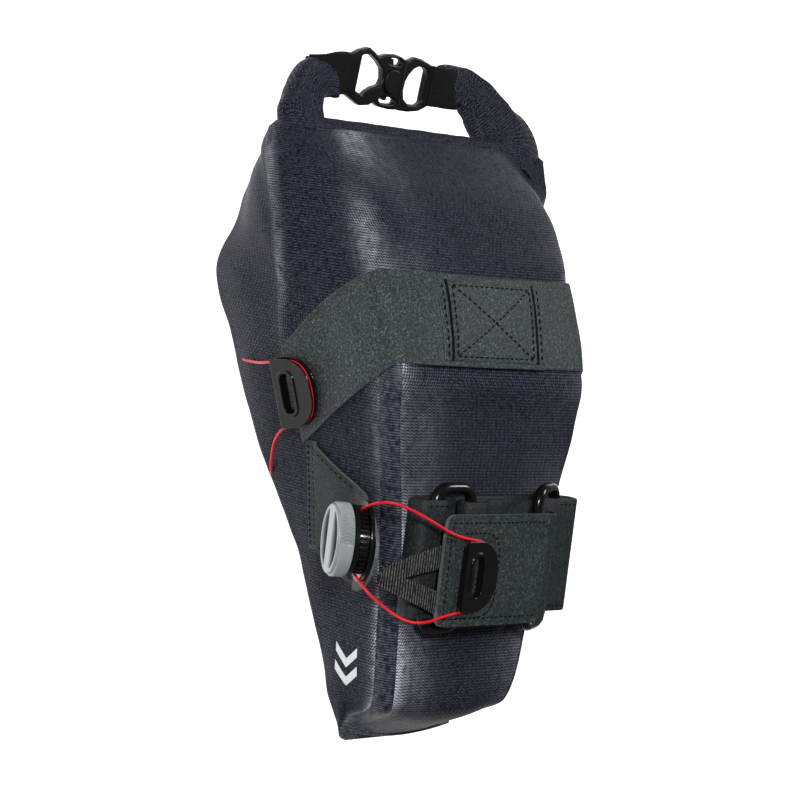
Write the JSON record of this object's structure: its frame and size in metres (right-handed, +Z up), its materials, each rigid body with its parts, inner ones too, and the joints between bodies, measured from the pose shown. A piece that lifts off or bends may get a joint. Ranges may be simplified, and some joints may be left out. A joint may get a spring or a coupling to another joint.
{
  "type": "saddle bag",
  "caption": "Roll-top bicycle saddle bag with a rail strap on oval rings, a buckled carrying loop, a compression band and two lacing dials.",
  "frame": {"origin": "on the top panel, in the middle of the saddle-rail strap", "axes": "+X towards the narrow nose, which points forward on the bicycle; +Z up, out of the top panel; -Y the near side, with the side dial"},
  "size_m": [0.2977, 0.1692, 0.1464],
  "materials": {
    "shell_fabric": "coated woven fabric, satin",
    "band_laminate": "speckled matt laminate",
    "trim_fabric": "matt seam tape and lining",
    "webbing": "ribbed webbing, matt",
    "stiffener": "matt sheet",
    "buckle_plastic": "satin moulded",
    "ring_plastic": "polished moulded",
    "guide_plastic": "polished moulded",
    "dial_housing": "polished moulded",
    "dial_knob": "satin silver grey",
    "dial_inner": "moulded",
    "dial_stem": "turned",
    "lace": "braided, smooth",
    "reflective": "reflective print"
  },
  "bodies": {
    "root": {"shell_top_panel": "shell_fabric", "shell_side_far": "shell_fabric", "shell_bottom_panel": "shell_fabric", "shell_side_near": "shell_fabric", "shell_nose_panel": "shell_fabric", "roll_top": "shell_fabric", "roll_end_near": "shell_fabric", "roll_end_far": "shell_fabric", "top_stiffener": "stiffener", "roll_stiffener": "stiffener", "buckle_female": "buckle_plastic", "buckle_webbing_near": "webbing", "compression_band_near": "band_laminate", "compression_band_far": "band_laminate", "band_patch": "band_laminate", "side_dial_tab": "band_laminate", "under_dial_patch": "band_laminate", "rail_base_strap": "band_laminate", "rail_strap_inner": "band_laminate", "rail_strap_bend": "band_laminate", "wing_guide_near": "guide_plastic", "wing_guide_far": "guide_plastic", "side_slit_welt": "trim_fabric", "seam_tape_near": "trim_fabric", "seam_tape_far": "trim_fabric", "side_dial_base": "dial_housing", "side_dial_ratchet_ring": "dial_housing", "under_dial_base": "dial_housing", "under_dial_ratchet_ring": "dial_housing", "side_lace": "lace", "compression_lace": "lace", "reflective_print": "reflective"},
    "side_dial_spool": {"side_dial_spool": "dial_inner", "side_dial_stem": "dial_stem"},
    "side_dial_knob": {"side_dial_knob": "dial_knob", "side_dial_pawl_disc": "dial_inner"},
    "under_dial_spool": {"under_dial_spool": "dial_inner", "under_dial_stem": "dial_stem"},
    "under_dial_knob": {"under_dial_knob": "dial_knob", "under_dial_pawl_disc": "dial_inner"},
    "ring_near": {"ring_near": "ring_plastic"},
    "ring_far": {"ring_far": "ring_plastic"},
    "strap_flap": {"rail_strap_flap": "band_laminate", "flap_guide": "guide_plastic", "pull_loop": "webbing"},
    "buckle_male": {"buckle_male": "buckle_plastic", "buckle_male_prongs": "buckle_plastic", "buckle_webbing_far": "webbing"}
  },
  "joints": [
    {"name": "side_dial_turn", "type": "hinge", "parent": "root", "child": "side_dial_spool", "pos_m": [-0.003, -0.05985, -0.00584], "axis": [0, -0.866, -0.5], "continuous": true},
    {"name": "side_dial_pull", "type": "slide", "parent": "side_dial_spool", "child": "side_dial_knob", "axis": [0, -0.866, -0.5], "range_m": [0, 0.0025]},
    {"name": "under_dial_turn", "type": "hinge", "parent": "root", "child": "under_dial_spool", "pos_m": [0.0039, 0, -0.07264], "axis": [0.475, 0, -0.88], "continuous": true},
    {"name": "under_dial_pull", "type": "slide", "parent": "under_dial_spool", "child": "under_dial_knob", "axis": [0.475, 0, -0.88], "range_m": [0, 0.0025]},
    {"name": "ring_near_swing", "type": "hinge", "parent": "root", "child": "ring_near", "pos_m": [0, -0.034, 0.007], "axis": [1, 0, 0], "range_deg": [0, 10]},
    {"name": "ring_far_swing", "type": "hinge", "parent": "root", "child": "ring_far", "pos_m": [0, 0.043, 0.0052], "axis": [-1, 0, 0], "range_deg": [0, 10]},
    {"name": "rail_strap_open", "type": "hinge", "parent": "ring_far", "child": "strap_flap", "pos_m": [0, 0.028, 0.0121], "axis": [-1, 0, 0], "range_deg": [0, 80], "deforming": ["side_lace", "rail_strap_bend", "rail_strap_inner"]},
    {"name": "buckle_release", "type": "slide", "parent": "root", "child": "buckle_male", "axis": [0, 1, 0], "range_m": [0, 0.02], "deforming": ["roll_end_far", "buckle_webbing_far", "buckle_male_prongs"]}
  ]
}
